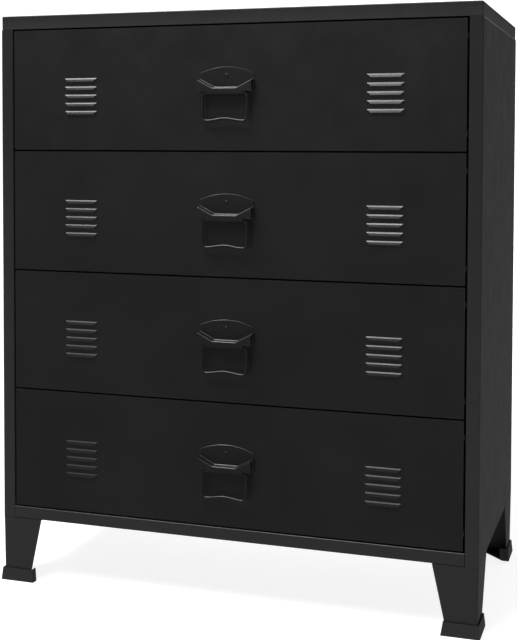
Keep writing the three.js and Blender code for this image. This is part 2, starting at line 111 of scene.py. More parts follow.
LOUVRE_ROWS = 5
LOUVRE_PITCH = 13 * MM
LOUVRE_HEIGHT = 5.6 * MM
LOUVRE_HALF_TOP = 29.4 * MM
LOUVRE_HALF_LIP = 24.6 * MM
LOUVRE_OFFSET = 247.5 * MM
LOUVRE_TOP_DROP = 77.5 * MM
# How far a louvre stands out, as (drop below its top, projection).
LOUVRE_PROFILE = (
    (0.0, 0.0),
    (0.25 * MM, 0.1 * MM),
    (1.8 * MM, 1.15 * MM),
    (2.3 * MM, 1.4 * MM),
    (5.3 * MM, 2.42 * MM),
    (5.6 * MM, 2.5 * MM),
)
LOUVRE_END_STEPS = (0.0, 0.3 * MM, 0.8 * MM, 1.5 * MM, 2.4 * MM)

PULL_HALF = 43.5 * MM
PULL_FLAT = 19.2 * MM
PULL_APEX = 63.5 * MM
PULL_SHOULDER = 73 * MM
PULL_TIP = 83.2 * MM
PULL_SHELF = 95.6 * MM
PULL_BASE = 101 * MM
PULL_SHEET = 1.2 * MM
PULL_STANDOFF = 0.3 * MM
HOOD_DEPTH = 13 * MM
HOOD_BEND = 2.2 * MM
HOOD_EASE = 1.4 * MM              # half the width over which the shelf starts to rise
ARCH_STEPS = 28
# The plate's rim, as (inset from its outline, height over its back).
PLATE_RIM = (
    (0.0, 0.0),
    (0.0, 0.5 * MM),
    (0.6 * MM, PULL_SHEET),
    (1.2 * MM, PULL_SHEET),
)
FLAT_MARGIN = 0.3 * MM            # a row this far from a fold keeps the flat beside it flat
EDGE_MARGIN = 3 * MM              # the same, on a drawer front
ROLL_HALF = 30 * MM
PULL_SCREW_DROP = 77 * MM
BAIL_RADIUS = 2 * MM
BAIL_HALF = 36 * MM
BAIL_CORNER = 7 * MM
BAIL_LENGTH = 42.8 * MM
BAIL_WAVE = 3.4 * MM
BAIL_SIDES = 16
CORNER_STEPS = 10
WAVE_STEPS = 12
ROLL_GAP = 0.35 * MM
ROLL_RADIUS = BAIL_RADIUS + ROLL_GAP + PULL_SHEET
ROLL_END = 440                    # degrees, from 180 at the hood's face
ROLL_STEPS = 22
BAIL_PIVOT_Y = FACE_Y - HOOD_DEPTH + ROLL_RADIUS
BAIL_PIVOT_DROP = PULL_BASE + BAIL_RADIUS + 0.4 * MM

SCREW_SIDES = 24
CROWN_STEPS = 5
SIDE_SCREW_RADIUS = 5.6 * MM
SIDE_SCREW_HEIGHT = 2.3 * MM
SIDE_SCREW_END = 25 * MM          # from the front's top and bottom
SIDE_SCREW_SETBACK = 6.5 * MM
PULL_SCREW_RADIUS = 3.2 * MM
PULL_SCREW_HEIGHT = 0.9 * MM


# ------------------------------------------------------------------ materials

def powder_coat(name, colour, roughness=0.35, specular=0.5, peel=0.10):
    """Black powder coat: a fine orange peel, faint cloudiness, and a little wear on raised edges."""
    material = bpy.data.materials.new(name)
    material.use_nodes = True
    tree = material.node_tree
    nodes, links = tree.nodes, tree.links
    shader = nodes["Principled BSDF"]
    shader.inputs["Specular IOR Level"].default_value = specular

    place = nodes.new("ShaderNodeTexCoord")

    def noise(scale, detail, rough=0.5):
        node = nodes.new("ShaderNodeTexNoise")
        node.inputs["Scale"].default_value = scale
        node.inputs["Detail"].default_value = detail
        node.inputs["Roughness"].default_value = rough
        links.new(place.outputs["Object"], node.inputs["Vector"])
        return node.outputs["Fac"]

    def spread(value, low, high, out_low, out_high):
        node = nodes.new("ShaderNodeMapRange")
        links.new(value, node.inputs["Value"])
        for label, number in (("From Min", low), ("From Max", high),
                              ("To Min", out_low), ("To Max", out_high)):
            node.inputs[label].default_value = number
        return node.outputs["Result"]

    def mixed(factor, first, second):
        node = nodes.new("ShaderNodeMix")
        node.data_type = "RGBA"
        links.new(factor, node.inputs["Factor"])
        for socket, value in ((node.inputs[6], first), (node.inputs[7], second)):
            if isinstance(value, tuple):
                socket.default_value = value
            else:
                links.new(value, socket)
        return node.outputs[2]

    cloud = spread(noise(9.0, 4.0), 0.3, 0.7, 0.0, 1.0)
    dark = tuple(c * 0.86 for c in colour) + (1.0,)
    light = tuple(c * 1.14 for c in colour) + (1.0,)
    body = mixed(cloud, dark, light)

    speck = spread(noise(1400.0, 1.0), 0.66, 0.76, 0.0, 0.35)
    pale = tuple(min(1.0, c * 2.2 + 0.004) for c in colour) + (1.0,)
    speckled = mixed(speck, body, pale)

    geometry = nodes.new("ShaderNodeNewGeometry")
    edge = spread(geometry.outputs["Pointiness"], 0.53, 0.60, 0.0, 0.45)
    worn = tuple(min(1.0, c * 3.0 + 0.01) for c in colour) + (1.0,)
    links.new(mixed(edge, speckled, worn), shader.inputs["Base Color"])

    haze = spread(noise(26.0, 6.0, 0.62), 0.3, 0.7, roughness - 0.04, roughness + 0.05)
    links.new(haze, shader.inputs["Roughness"])

    peel_bump = nodes.new("ShaderNodeBump")
    peel_bump.inputs["Strength"].default_value = peel
    peel_bump.inputs["Distance"].default_value = 0.4 * MM
    links.new(noise(620.0, 2.0), peel_bump.inputs["Height"])
    wave = nodes.new("ShaderNodeBump")
    wave.inputs["Strength"].default_value = 0.05
    wave.inputs["Distance"].default_value = 2.0 * MM
    links.new(noise(14.0, 1.0), wave.inputs["Height"])
    links.new(peel_bump.outputs["Normal"], wave.inputs["Normal"])
    links.new(wave.outputs["Normal"], shader.inputs["Normal"])
    return material


def zinc_plate(name):
    """Dull zinc on the slides and screws: streaked along the rolling direction."""
    material = bpy.data.materials.new(name)
    material.use_nodes = True
    nodes, links = material.node_tree.nodes, material.node_tree.links
    shader = nodes["Principled BSDF"]
    shader.inputs["Metallic"].default_value = 1.0
    place = nodes.new("ShaderNodeTexCoord")
    stretch = nodes.new("ShaderNodeMapping")
    stretch.inputs["Scale"].default_value = (240.0, 12.0, 240.0)
    links.new(place.outputs["Object"], stretch.inputs["Vector"])
    streaks = nodes.new("ShaderNodeTexNoise")
    streaks.inputs["Scale"].default_value = 3.0
    streaks.inputs["Detail"].default_value = 5.0
    links.new(stretch.outputs["Vector"], streaks.inputs["Vector"])
    tone = nodes.new("ShaderNodeValToRGB")
    tone.color_ramp.elements[0].position = 0.3
    tone.color_ramp.elements[0].color = (0.36, 0.37, 0.38, 1)
    tone.color_ramp.elements[1].position = 0.75
    tone.color_ramp.elements[1].color = (0.60, 0.61, 0.62, 1)
    links.new(streaks.outputs["Fac"], tone.inputs["Fac"])
    links.new(tone.outputs["Color"], shader.inputs["Base Color"])
    rough = nodes.new("ShaderNodeMapRange")
    rough.inputs["To Min"].default_value = 0.32
    rough.inputs["To Max"].default_value = 0.52
    links.new(streaks.outputs["Fac"], rough.inputs["Value"])
    links.new(rough.outputs["Result"], shader.inputs["Roughness"])
    bump = nodes.new("ShaderNodeBump")
    bump.inputs["Strength"].default_value = 0.12
    bump.inputs["Distance"].default_value = 0.2 * MM
    links.new(streaks.outputs["Fac"], bump.inputs["Height"])
    links.new(bump.outputs["Normal"], shader.inputs["Normal"])
    return material


FRONT_PAINT = powder_coat("front_powder_coat", (0.0072, 0.0074, 0.0080))
SHELL_PAINT = powder_coat("shell_powder_coat", (0.0072, 0.0073, 0.0078))
SIDE_PAINT = powder_coat("side_powder_coat", (0.0076, 0.0077, 0.0080), roughness=0.38)
LEG_PAINT = powder_coat("leg_powder_coat", (0.0072, 0.0073, 0.0077))
SHOE_PAINT = powder_coat("shoe_powder_coat", (0.0076, 0.0077, 0.0080), roughness=0.42)
BOX_PAINT = powder_coat("drawer_box_powder_coat", (0.0080, 0.0081, 0.0085), roughness=0.5)
PULL_PAINT = powder_coat("pull_enamel", (0.0070, 0.0071, 0.0077), peel=0.06)
SCREW_PAINT = powder_coat("blackened_screw", (0.008, 0.008, 0.0088), roughness=0.4,
                          specular=0.45, peel=0.04)
# A light grey paint for the outer top fold of each side panel: a painted highlight where the fold
# would catch the light.
FOLD_HIGHLIGHT_PAINT = powder_coat("painted_fold_highlight", (0.24, 0.24, 0.245), roughness=0.4)
ZINC = zinc_plate("zinc_plate")


# ------------------------------------------------------------------ mesh helpers

def make_piece(name, bm, material, body, stands_for=(), smooth_angle=32.0):
    """A bmesh as an object that rides on a body and may stand for CAD nodes."""
    bmesh.ops.recalc_face_normals(bm, faces=bm.faces)
    return place_piece(name, bm, material, body, stands_for, smooth_angle)


def place_piece(name, bm, material, body, stands_for=(), smooth_angle=32.0):
    """The same, for a sheet whose faces already point the right way."""
    mesh = bpy.data.meshes.new(name)
    bm.to_mesh(mesh)
    bm.free()
    mesh.materials.append(material)
    piece = bpy.data.objects.new(name, mesh)
    bpy.context.scene.collection.objects.link(piece)
    for polygon in mesh.polygons:
        polygon.use_smooth = True
    mesh.set_sharp_from_angle(angle=math.radians(smooth_angle))
    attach(piece, body)
    if stands_for:
        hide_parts(*stands_for)
    return piece


def thicken(piece, thickness, sharp_angle=38.0):
    """Gives an open sheet its wall, away from the side that its normals point to."""
    modifier = piece.modifiers.new("sheet", "SOLIDIFY")
    modifier.thickness = thickness
    modifier.offset = -1.0
    modifier.use_even_offset = True
    modifier.use_quality_normals = True
    # The wall becomes part of the mesh, so that its rims can be marked sharp.
    graph = bpy.context.evaluated_depsgraph_get()
    sheet = piece.data
    piece.data = bpy.data.meshes.new_from_object(piece.evaluated_get(graph))
    piece.modifiers.remove(modifier)
    bpy.data.meshes.remove(sheet)
    piece.data.name = piece.name
    for polygon in piece.data.polygons:
        polygon.use_smooth = True
    piece.data.set_sharp_from_angle(angle=math.radians(sharp_angle))
    flatten_shading(piece)


def flatten_shading(piece):
    """Keeps large flat faces flat in shading, next to their rounded folds."""
    modifier = piece.modifiers.new("normals", "WEIGHTED_NORMAL")
    modifier.mode = "FACE_AREA"
    modifier.weight = 50
    modifier.keep_sharp = True


def soften(piece, width, segments=2, angle=40.0):
    """Rounds the edges of a solid by a small radius."""
    modifier = piece.modifiers.new("edges", "BEVEL")
    modifier.width = width
    modifier.segments = segments
    modifier.limit_method = "ANGLE"
    modifier.angle_limit = math.radians(angle)
    flatten_shading(piece)


def rounded_path(points, radius, steps=FOLD_STEPS):
    """A 2D path with each inner corner replaced by an arc."""
    path = [Vector(points[0])]
    for before, corner, after in zip(points, points[1:], points[2:]):
        before, corner, after = Vector(before), Vector(corner), Vector(after)
        to_before = (before - corner).normalized()
        to_after = (after - corner).normalized()
        half = to_before.angle(to_after) / 2
        reach = radius / math.tan(half)
        centre = corner + (to_before + to_after).normalized() * radius / math.sin(half)
        start = corner + to_before * reach - centre
        end = corner + to_after * reach - centre
        turn = start.angle_signed(end)
        for i in range(steps + 1):
            angle = -turn * i / steps
            spun = Vector((start.x * math.cos(angle) - start.y * math.sin(angle),
                           start.x * math.sin(angle) + start.y * math.cos(angle)))
            path.append(centre + spun)
    path.append(Vector(points[-1]))
    return path


def swept_strip(bm, rows):
    """Joins equal rows of points into a sheet of quads."""
    made = [[bm.verts.new(p) for p in row] for row in rows]
    for first, second in zip(made, made[1:]):
        for a, b, c, d in zip(first, first[1:], second[1:], second):
            bm.faces.new((a, b, c, d))
    return made


def mirrored(bm, about_x=None, about_y=None):
    """Mirrors a bmesh about x = 0 or about a plane y = about_y, and keeps its faces outward."""
    for vert in bm.verts:
        if about_x is not None:
            vert.co.x = 2 * about_x - vert.co.x
        if about_y is not None:
            vert.co.y = 2 * about_y - vert.co.y
    if (about_x is None) != (about_y is None):
        bmesh.ops.reverse_faces(bm, faces=bm.faces)


def plate(bm, low, high):
    """A flat plate between two corners, as a closed shell."""
    matrix = Matrix.Translation((Vector(low) + Vector(high)) / 2) @ Matrix.Diagonal(
        (*(Vector(high) - Vector(low)), 1.0))
    bmesh.ops.create_cube(bm, size=1.0, matrix=matrix)


# ------------------------------------------------------------------ carcass

def build_top():
    """The top: a shallow pan turned over, with round folds and a return behind the front band."""
    bm = bmesh.new()
    plate(bm, TOP_LO, TOP_HI)
    bottom = [f for f in bm.faces if f.normal.z < -0.5]
    rim = {e for f in bottom for e in f.edges}
    bmesh.ops.delete(bm, geom=bottom, context="FACES_ONLY")
    folds = [e for e in bm.edges if e not in rim]
    bmesh.ops.bevel(bm, geom=folds, offset=FOLD_RADIUS, segments=FOLD_STEPS, profile=0.5,
                    affect="EDGES")
    piece = make_piece("top_sheet", bm, SHELL_PAINT, "cabinet", ["top_panel"])
    thicken(piece, SHEET)

    bm = bmesh.new()
    plate(bm, (TOP_LO.x + RETURN_INSET, FACE_Y + SHEET, TOP_LO.z),
          (TOP_HI.x - RETURN_INSET, FACE_Y + RETURN_DEPTH, TOP_LO.z + SHEET))
    piece = make_piece("top_front_return", bm, SHELL_PAINT, "cabinet")
    soften(piece, SOFT_EDGE)


def side_plan():
    """The right side panel in plan: jamb, stile, side and rear flange, with round folds."""
    x_in, x_out = SIDE_LO.x, SIDE_HI.x
    corners = [
        (x_in, FACE_Y + JAMB_DEPTH),
        (x_in, FACE_Y),
        (x_out, FACE_Y),
        (x_out, REAR_Y),
        (x_out - REAR_FLANGE, REAR_Y),
    ]
    return rounded_path(corners, FOLD_RADIUS)


def build_side(side_name, side):
    """A side panel: one folded sheet whose top edge turns in to a tongue under the top."""
    plan = side_plan()
    low = SIDE_LO.z
    top = TOP_LO.z - PART_GAP
    fold_foot = top - TOP_FOLD_HEIGHT
    middle_x = (SIDE_LO.x + SIDE_HI.x) / 2
    rows = [[(p.x, p.y, z) for p in plan] for z in (low, fold_foot)]
    for i in range(1, TOP_FOLD_STEPS + 1):
        angle = math.radians(90 * i / TOP_FOLD_STEPS)
        inset = TOP_FOLD_DEPTH * (1 - math.cos(angle))
        z = fold_foot + TOP_FOLD_HEIGHT * math.sin(angle)
        rows.append([(p.x - inset if p.x > middle_x else p.x, p.y, z) for p in plan])
    bm = bmesh.new()
    swept_strip(bm, rows)
    if side < 0:
        mirrored(bm, about_x=0.0)
    aim_outwards(bm, Vector((side * 0.1, MIDDLE_Y, 0.5)))
    # The outer top fold, back from the front corner, gets the light grey paint: a painted highlight
    # along the fold.
    highlight_z = top - HIGHLIGHT_START * TOP_FOLD_HEIGHT
    highlight_y = FACE_Y + HIGHLIGHT_SETBACK
    for face in bm.faces:
        centre = face.calc_center_median()
        if centre.z > highlight_z and abs(centre.x) > middle_x and centre.y > highlight_y:
            face.material_index = 1
    piece = place_piece(f"{side_name}_side_sheet", bm, SIDE_PAINT, "cabinet",
                        [f"{side_name}_side_panel"])
    piece.data.materials.append(FOLD_HIGHLIGHT_PAINT)
    thicken(piece, SHEET)

    build_side_flanges(side_name, side, low, top)


def build_side_flanges(side_name, side, low, top):
    """The tongue that stands up inside the top, the ledge beside it, and the foot flange."""
    tongue_x = TOP_HI.x - SHEET - PART_GAP
    inner_x = SIDE_HI.x - SHEET - LAP
    start_y, end_y = FACE_Y + TONGUE_START, REAR_Y - TONGUE_SETBACK
    bm = bmesh.new()
    plate(bm, (tongue_x - SHEET, start_y, top - SHEET),
          (tongue_x, end_y, TOP_HI.z - TONGUE_TOP_GAP))
    plate(bm, (tongue_x + TONGUE_LAP, start_y, top - SHEET), (inner_x, end_y, top))
    plate(bm, (SIDE_HI.x - FLANGE_WIDTH, FACE_Y + FLANGE_SETBACK, low),
          (inner_x, REAR_Y - FLANGE_SETBACK, low + SHEET))
    if side < 0:
        mirrored(bm, about_x=0.0)
    make_piece(f"{side_name}_side_flanges", bm, SIDE_PAINT, "cabinet")


def aim_outwards(bm, inside):
    """Turns a sheet's faces so that they point away from a point inside the object."""
    bm.normal_update()
    away = sum(f.normal.dot(f.calc_center_median() - inside) * f.calc_area() for f in bm.faces)
    if away < 0:
        bmesh.ops.reverse_faces(bm, faces=bm.faces)


def build_rail():
    """The bottom rail: a channel with round folds that opens to the back."""
    y0, y1 = RAIL_LO.y, RAIL_HI.y
    path = rounded_path([(y1, RAIL_LO.z), (y0, RAIL_LO.z), (y0, RAIL_HI.z), (y1, RAIL_HI.z)],
                        FOLD_RADIUS)
    bm = bmesh.new()
    swept_strip(bm, [[(x, p.x, p.y) for p in path] for x in (RAIL_LO.x, RAIL_HI.x)])
    aim_outwards(bm, Vector((0, y1, (RAIL_LO.z + RAIL_HI.z) / 2)))
    piece = place_piece("bottom_rail_sheet", bm, SHELL_PAINT, "cabinet",
                        ["front_bottom_rail"])
    thicken(piece, SHEET)


def build_leg(corner, side, rear):
    """A tapered angle leg with a round fold, leaning in a little towards the floor, and its tab."""
    rows = []
    for out, width, depth, z in (
        (LEG_TOP_OUT, LEG_TOP_WIDTH, LEG_TOP_DEPTH, LEG_HI.z),
        (-LEG_FOOT_IN, LEG_FOOT_WIDTH, LEG_FOOT_DEPTH, LEG_LO.z),
    ):
        x, y = LEG_HI.x + out, LEG_LO.y - out
        corners = [(x - width, y), (x, y), (x, y + depth)]
        path = rounded_path(corners, LEG_FOLD_RADIUS, LEG_FOLD_STEPS)
        rows.append([(p.x, p.y, z) for p in path])
    bm = bmesh.new()
    swept_strip(bm, rows)
    aim_outwards(bm, Vector((LEG_LO.x, LEG_HI.y, (LEG_LO.z + LEG_HI.z) / 2)))
    to_corner(bm, side, rear)
    piece = place_piece(f"{corner}_leg_sheet", bm, LEG_PAINT, "cabinet",
                        [f"{corner}_leg"])
    thicken(piece, LEG_SHEET)

    bm = bmesh.new()
    outline = [(LEG_HI.x - x, LEG_LO.y + y) for x, y in (
        (TAB_EDGE, TAB_EDGE),
        (TAB_WIDTH, TAB_EDGE),
        (TAB_WIDTH, TAB_ARM),
        (TAB_ARM, TAB_DEPTH),
        (TAB_EDGE, TAB_DEPTH),
    )]
    extrude_outline(bm, outline, LEG_HI.z - LEG_SHEET, LEG_HI.z)
    to_corner(bm, side, rear)
    piece = make_piece(f"{corner}_leg_tab", bm, LEG_PAINT, "cabinet")
    soften(piece, 0.3 * MM)


def to_corner(bm, side, rear):
    """Mirrors a front right piece to its own corner."""
    if side < 0:
        mirrored(bm, about_x=0.0)
    if rear:
        mirrored(bm, about_y=MIDDLE_Y)


def extrude_outline(bm, outline, low, high):
    """A closed prism over an outline in plan."""
    ring = [bm.verts.new((x, y, low)) for x, y in outline]
    face = bm.faces.new(ring)
    made = bmesh.ops.extrude_face_region(bm, geom=[face])
    for item in made["geom"]:
        if isinstance(item, bmesh.types.BMVert):
            item.co.z = high


# ------------------------------------------------------------------ drawer fronts

def end_rise(step):
    """How much of its projection a louvre has reached at a step in from its end."""
    share = min(max(step / LOUVRE_END_STEPS[-1], 0.0), 1.0)
    return math.sqrt(1 - (1 - share) ** 2)


def front_columns(half):
    """Columns of the face's grid: (middle of the group or x, side, step in from the end)."""
    columns = [(-half, 0, 0.0), (-half + EDGE_MARGIN, 0, 0.0)]
    for middle in (-LOUVRE_OFFSET, LOUVRE_OFFSET):
        columns += [(middle, -1, step) for step in (-EDGE_MARGIN,) + LOUVRE_END_STEPS]
        columns += [(middle, 1, step) for step in LOUVRE_END_STEPS[::-1] + (-EDGE_MARGIN,)]
        if middle < 0:
            columns.append((0.0, 0, 0.0))
    columns += [(half - EDGE_MARGIN, 0, 0.0), (half, 0, 0.0)]
    return columns


def build_front(number):
    """A drawer front: one sheet with round folds and two groups of louvres pressed out of it."""
    node = f"drawer_{number}_front"
    lo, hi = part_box(node)
    half = hi.x
    first_top = hi.z - LOUVRE_TOP_DROP
    columns = front_columns(half)
    rises = [end_rise(step) if side else 0.0 for _, side, step in columns]
    bm = bmesh.new()

    def row(z, share=0.0, depth=0.0):
        end = LOUVRE_HALF_TOP + (LOUVRE_HALF_LIP - LOUVRE_HALF_TOP) * share
        made = []
        for (middle, side, step), rise in zip(columns, rises):
            x = middle + side * (end - step)
            made.append(bm.verts.new((x, FACE_Y - depth * rise, z)))
        return made

    def join(upper, lower):
        for a, b, c, d in zip(upper, upper[1:], lower[1:], lower):
            bm.faces.new((a, b, c, d))

    above = row(hi.z)
    for z in (hi.z - EDGE_MARGIN, first_top + EDGE_MARGIN):
        current = row(z)
        join(above, current)
        above = current
    for louvre in range(LOUVRE_ROWS):
        top = first_top - louvre * LOUVRE_PITCH
        for drop, depth in LOUVRE_PROFILE:
            current = row(top - drop, drop / LOUVRE_HEIGHT, depth)
            join(above, current)
            above = current
        # Under the lip the face starts again, joined to the lip only where nothing is pressed.
        below = []
        for lip, rise in zip(above, rises):
            if rise == 0.0:
                below.append(lip)
            else:
                below.append(bm.verts.new((lip.co.x, FACE_Y, lip.co.z)))
        above = below
    last_lip = above[0].co.z
    for z in (last_lip - EDGE_MARGIN, lo.z + EDGE_MARGIN, lo.z):
        current = row(z, share=1.0)
        join(above, current)
        above = current

    def at_side(vert):
        return abs(vert.co.x) > half - TOLERANCE

    def at_top(vert):
        return vert.co.z > hi.z - TOLERANCE

    def at_foot(vert):
        return vert.co.z < lo.z + TOLERANCE

    aim_outwards(bm, Vector((0, MIDDLE_Y, (lo.z + hi.z) / 2)))
    outer = [e for e in bm.edges if e.is_boundary
             and all(at_side(v) or at_top(v) or at_foot(v) for v in e.verts)]
    made = bmesh.ops.extrude_edge_only(bm, edges=outer)
    for item in made["geom"]:
        if isinstance(item, bmesh.types.BMVert):
            item.co.y = hi.y
    folds = [e for e in bm.edges if len(e.link_faces) == 2 and e.calc_face_angle(0.0) > FOLD_ANGLE
             and any(all(test(v) for v in e.verts) for test in (at_side, at_top, at_foot))]
    bmesh.ops.bevel(bm, geom=folds, offset=FRONT_FOLD_RADIUS, segments=FOLD_STEPS, profile=0.5,
                    affect="EDGES")
    piece = place_piece(f"{node}_sheet", bm, FRONT_PAINT, f"drawer_{number}",
                        [node], smooth_angle=38.0)
    thicken(piece, SHEET)


# ------------------------------------------------------------------ pulls

def ring_sweep(bm, centres, normals, binormal, radius, sides):
    """A closed round bar along a closed flat path."""
    rings = []
    for centre, normal in zip(centres, normals):
        ring = []
        for i in range(sides):
            angle = 2 * math.pi * i / sides
            ring.append(bm.verts.new(
                centre + normal * radius * math.cos(angle) + binormal * radius * math.sin(angle)))
        rings.append(ring)
    for first, second in zip(rings, rings[1:] + rings[:1]):
        for i in range(sides):
            j = (i + 1) % sides
            bm.faces.new((first[i], first[j], second[j], second[i]))


def bail_outline():
    """The bail's centre line as (x, drop below the pivot), closed, with round corners."""
    corner_x = BAIL_HALF - BAIL_CORNER
    half = [(0.0, 0.0), (corner_x * 0.5, 0.0)]
    for i in range(CORNER_STEPS + 1):
        angle = math.pi / 2 - math.pi / 2 * i / CORNER_STEPS
        half.append((corner_x + BAIL_CORNER * math.cos(angle),
                     BAIL_CORNER - BAIL_CORNER * math.sin(angle)))
    half.append((BAIL_HALF, BAIL_LENGTH * 0.5))
    for i in range(CORNER_STEPS + 1):
        angle = -math.pi / 2 * i / CORNER_STEPS
        half.append((corner_x + BAIL_CORNER * math.cos(angle),
                     BAIL_LENGTH - BAIL_CORNER - BAIL_CORNER * math.sin(angle)))
    for i in range(WAVE_STEPS - 1, 0, -1):
        share = i / WAVE_STEPS
        half.append((corner_x * share,
                     BAIL_LENGTH - BAIL_WAVE * (1 + math.cos(math.pi * share)) / 2))
    half.append((0.0, BAIL_LENGTH - BAIL_WAVE))
    return half + [(-x, drop) for x, drop in reversed(half[1:-1])]


def build_bail(number, top):
    """The drop bail: a round bar along a closed outline, hung from its top bar."""
    outline = bail_outline()
    centres = [Vector((x, BAIL_PIVOT_Y, top - BAIL_PIVOT_DROP - drop)) for x, drop in outline]
    normals = []
    for before, after in zip(centres[-1:] + centres[:-1], centres[1:] + centres[:1]):
        along = (after - before).normalized()
        normals.append(along.cross(Vector((0, 1, 0))))
    bm = bmesh.new()
    ring_sweep(bm, centres, normals, Vector((0, 1, 0)), BAIL_RADIUS, BAIL_SIDES)
    make_piece(f"pull_{number}_drop_bail", bm, PULL_PAINT, f"bail_{number}",
               [f"pull_{number}_bail"], smooth_angle=60.0)


def plate_outline(top, inset):
    """The plate's outline, with an arched top, drawn in by an inset."""
    height = PULL_SHOULDER - PULL_APEX
    radius = (PULL_HALF ** 2 + height ** 2) / (2 * height)
    centre = top - PULL_APEX - radius
    half, inner = PULL_HALF - inset, radius - inset
    reach = math.asin(half / inner)
    low = top - PULL_BASE + inset
    outline = [(-half, low), (half, low)]
    for i in range(ARCH_STEPS + 1):
        angle = reach - 2 * reach * i / ARCH_STEPS
        outline.append((inner * math.sin(angle), centre + inner * math.cos(angle)))
    return outline


def pull_plate(top):
    """The plate behind the hood. Its rim slopes back to the drawer's face."""
    back = FACE_Y - PULL_STANDOFF
    bm = bmesh.new()
    rings = [[bm.verts.new((x, back - depth, z)) for x, z in plate_outline(top, inset)]
             for inset, depth in PLATE_RIM]
    bm.faces.new(rings[0])
    for first, second in zip(rings, rings[1:]):
        for i in range(len(first)):
            j = (i + 1) % len(first)
            bm.faces.new((first[i], first[j], second[j], second[i]))
    bm.faces.new(rings[-1])
    bmesh.ops.recalc_face_normals(bm, faces=bm.faces)
    return bm


def shelf_drop(x):
    """Drop of the hood's shelf at a place along the pull: level in the middle, rising outwards."""
    slope = (PULL_SHELF - PULL_TIP) / (PULL_HALF - PULL_FLAT)
    past = abs(x) - PULL_FLAT
    if past <= -HOOD_EASE:
        return PULL_SHELF
    if past >= HOOD_EASE:
        return PULL_SHELF - slope * past
    return PULL_SHELF - slope * (past + HOOD_EASE) ** 2 / (4 * HOOD_EASE)


def arc(centre_y, centre_z, radius, start, end, steps):
    """Points along an arc, between two angles in degrees."""
    return [(centre_y + radius * math.cos(math.radians(start + (end - start) * i / steps)),
             centre_z + radius * math.sin(math.radians(start + (end - start) * i / steps)))
            for i in range(steps + 1)]


def hood_sheet(top):
    """The hood: it bends out of the plate, turns down into a face, and rolls round the bail."""
    plate_y = FACE_Y - PULL_STANDOFF - PULL_SHEET + LAP
    front_y = FACE_Y - HOOD_DEPTH
    half_stations = [0.0]
    half_stations += [PULL_FLAT + HOOD_EASE * share for share in (-1, -0.5, 0, 0.5, 1)]
    half_stations += [ROLL_HALF - FLAT_MARGIN, ROLL_HALF, ROLL_HALF + FLAT_MARGIN,
                      PULL_HALF - FLAT_MARGIN, PULL_HALF]
    stations = [-x for x in reversed(half_stations[1:])] + half_stations
    base = top - PULL_BASE
    pivot_z = top - BAIL_PIVOT_DROP
    bm = bmesh.new()
    rows = []
    for x in stations:
        shelf = top - shelf_drop(x)
        line = arc(plate_y - HOOD_BEND, shelf + HOOD_BEND, HOOD_BEND, 0, -90, 6)
        line += arc(front_y + HOOD_BEND, shelf - HOOD_BEND, HOOD_BEND, 90, 180, 7)
        line += [(front_y, shelf - HOOD_BEND - FLAT_MARGIN), (front_y, base + FLAT_MARGIN),
                 (front_y, base)]
        rows.append([bm.verts.new((x, y, z)) for y, z in line])
    for first, second in zip(rows, rows[1:]):
        for a, b, c, d in zip(first, first[1:], second[1:], second):
            bm.faces.new((a, b, c, d))
    roll = arc(BAIL_PIVOT_Y, pivot_z, ROLL_RADIUS, 180, ROLL_END, ROLL_STEPS)
    previous = None
    for x, line in zip(stations, rows):
        if abs(x) > ROLL_HALF + TOLERANCE:
            continue
        current = [line[-1]] + [bm.verts.new((x, y, z)) for y, z in roll]
        if previous:
            for a, b, c, d in zip(previous, previous[1:], current[1:], current):
                bm.faces.new((a, b, c, d))
        previous = current
    bm.normal_update()
    face = min(bm.faces, key=lambda f: (f.calc_center_median() - Vector(
        (0, front_y, (base + top - PULL_SHELF) / 2))).length)
    if face.normal.y > 0:
        bmesh.ops.reverse_faces(bm, faces=bm.faces)
    return bm


def build_bracket(number, top):
    """A pull's fixed parts: the plate and the hood, which ride on the drawer."""
    body = f"drawer_{number}"
    plate_piece = make_piece(f"pull_{number}_plate", pull_plate(top), PULL_PAINT, body,
                             [f"pull_{number}_bracket"], smooth_angle=25.0)
    flatten_shading(plate_piece)
    hood_piece = place_piece(f"pull_{number}_hood", hood_sheet(top), PULL_PAINT, body)
    thicken(hood_piece, PULL_SHEET)


# ------------------------------------------------------------------ screws

def screw_head(radius, height):
    """A pan head with a cross recess, standing on z = 0 and pointing up +Z."""
    bm = bmesh.new()
    angles = [2 * math.pi * i / SCREW_SIDES for i in range(SCREW_SIDES)]

    def ring(radii, z):
        return [bm.verts.new((r * math.cos(angle), r * math.sin(angle), z))
                for r, angle in zip(radii, angles)]

    rings = [ring([radius] * SCREW_SIDES, 0.0)]
    for k in range(1, CROWN_STEPS + 1):
        rise = math.radians(90 * k / CROWN_STEPS)
        r = radius * (0.55 + 0.45 * math.cos(rise))
        rings.append(ring([r] * SCREW_SIDES, height * (0.25 + 0.75 * math.sin(rise))))
    # The crown falls into a four-pointed recess.
    star = [0.42 * radius * (0.42 + 0.58 * abs(math.cos(2 * angle)) ** 3) for angle in angles]
    rings.append(ring(star, height))
    rings.append(ring([r * 0.55 for r in star], height * 0.35))
    bm.faces.new(rings[0])
    for first, second in zip(rings, rings[1:]):
        for i in range(SCREW_SIDES):
            j = (i + 1) % SCREW_SIDES
            bm.faces.new((first[i], first[j], second[j], second[i]))
    bm.faces.new(rings[-1])
    return bm


def screws(name, body, radius, height, places):
    """Screw heads at places [(point, direction, turn)], joined into one piece."""
    bm = bmesh.new()
    for point, direction, turn in places:
        head = screw_head(radius, height)
        aim = Vector(direction).to_track_quat("Z", "Y").to_matrix().to_4x4()
        spin = Matrix.Rotation(math.radians(turn), 4, "Z")
        head.transform(Matrix.Translation(point) @ aim @ spin)
        mesh = bpy.data.meshes.new("head")
        head.to_mesh(mesh)
        head.free()
        bm.from_mesh(mesh)
        bpy.data.meshes.remove(mesh)
    make_piece(name, bm, SCREW_PAINT, body, smooth_angle=50.0)


